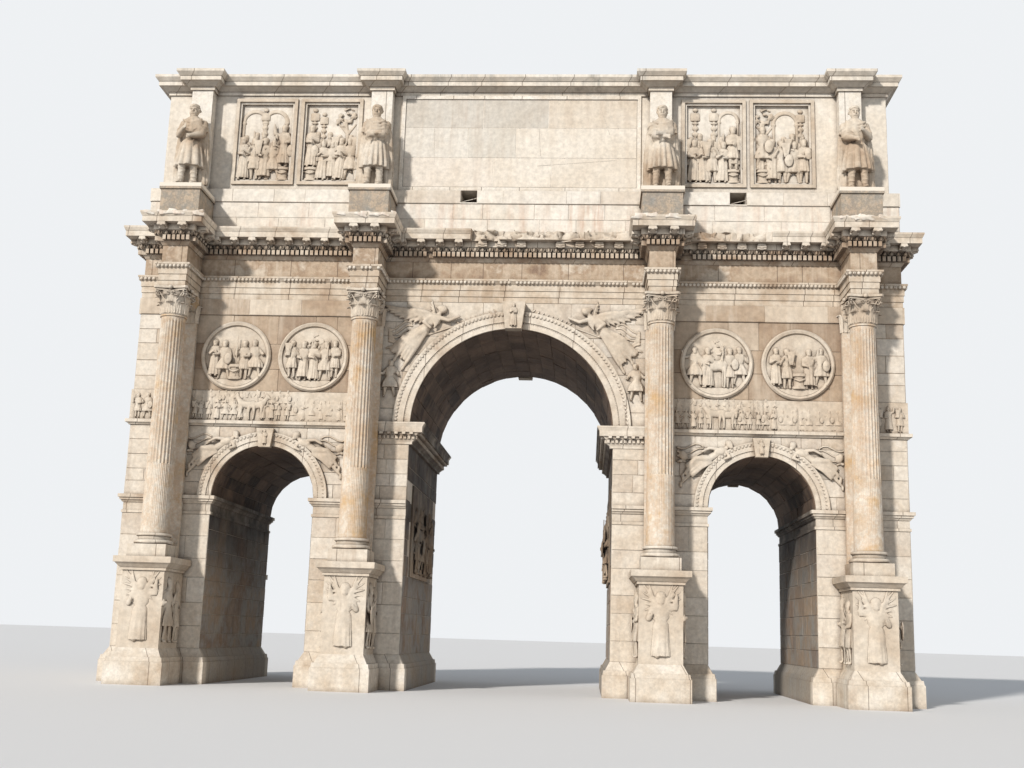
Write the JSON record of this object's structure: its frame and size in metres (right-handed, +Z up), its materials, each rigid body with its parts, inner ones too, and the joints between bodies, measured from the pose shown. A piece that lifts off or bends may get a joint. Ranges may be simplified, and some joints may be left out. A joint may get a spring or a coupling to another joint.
{
  "type": "triple-passage triumphal arch",
  "caption": "Marble triumphal arch with a tall centre passage, two side passages, detached columns on pedestals, a broken entablature and a hollow attic with statues.",
  "frame": {"origin": "on the ground below the middle of the centre passage, halfway through the thickness", "axes": "+X along the front towards the right-hand pier seen from the front, -Y out of the front, +Z up"},
  "size_m": [26.04, 11.65, 20.3],
  "materials": {
    "masonry": "weathered cream marble blocks",
    "brown_slabs": "stained brown slabs",
    "moulded_stone": "weathered carved mouldings",
    "relief_stone": "weathered carved relief",
    "column_marble": "warm yellow veined marble",
    "attic_marble": "pale weathered marble",
    "statue_marble": "grey veined marble"
  },
  "bodies": {
    "root": {"pier_plinths": "masonry", "outer_left_pier": "masonry", "inner_left_pier": "masonry", "inner_right_pier": "masonry", "outer_right_pier": "masonry", "left_arch_masonry": "masonry", "right_arch_masonry": "masonry", "centre_arch_masonry": "masonry", "upper_left_wall": "brown_slabs", "upper_right_wall": "brown_slabs", "frieze": "brown_slabs", "side_imposts": "moulded_stone", "centre_imposts": "moulded_stone", "centre_archivolts": "moulded_stone", "side_archivolts": "moulded_stone", "centre_keystones": "moulded_stone", "side_keystones": "moulded_stone", "string_courses": "moulded_stone", "architrave": "moulded_stone", "bed_moulding": "moulded_stone", "main_cornice": "moulded_stone", "front_pilasters": "moulded_stone", "rear_pilasters": "moulded_stone", "narrow_friezes": "relief_stone", "roundels": "relief_stone", "passage_panels": "relief_stone", "relief_panels": "relief_stone", "front_pedestals": "relief_stone", "rear_pedestals": "relief_stone", "front_column_bases": "column_marble", "rear_column_bases": "column_marble", "front_column_shafts": "column_marble", "rear_column_shafts": "column_marble", "front_capitals": "column_marble", "rear_capitals": "column_marble", "attic_front_wall": "attic_marble", "attic_rear_wall": "attic_marble", "attic_left_wall": "attic_marble", "attic_right_wall": "attic_marble", "attic_cornice": "attic_marble", "attic_pilasters": "attic_marble", "inscription_panels": "attic_marble", "attic_roof": "attic_marble", "front_statue_pedestals": "statue_marble", "rear_statue_pedestals": "statue_marble", "front_statues": "statue_marble", "rear_statues": "statue_marble"}
  },
  "joints": []
}
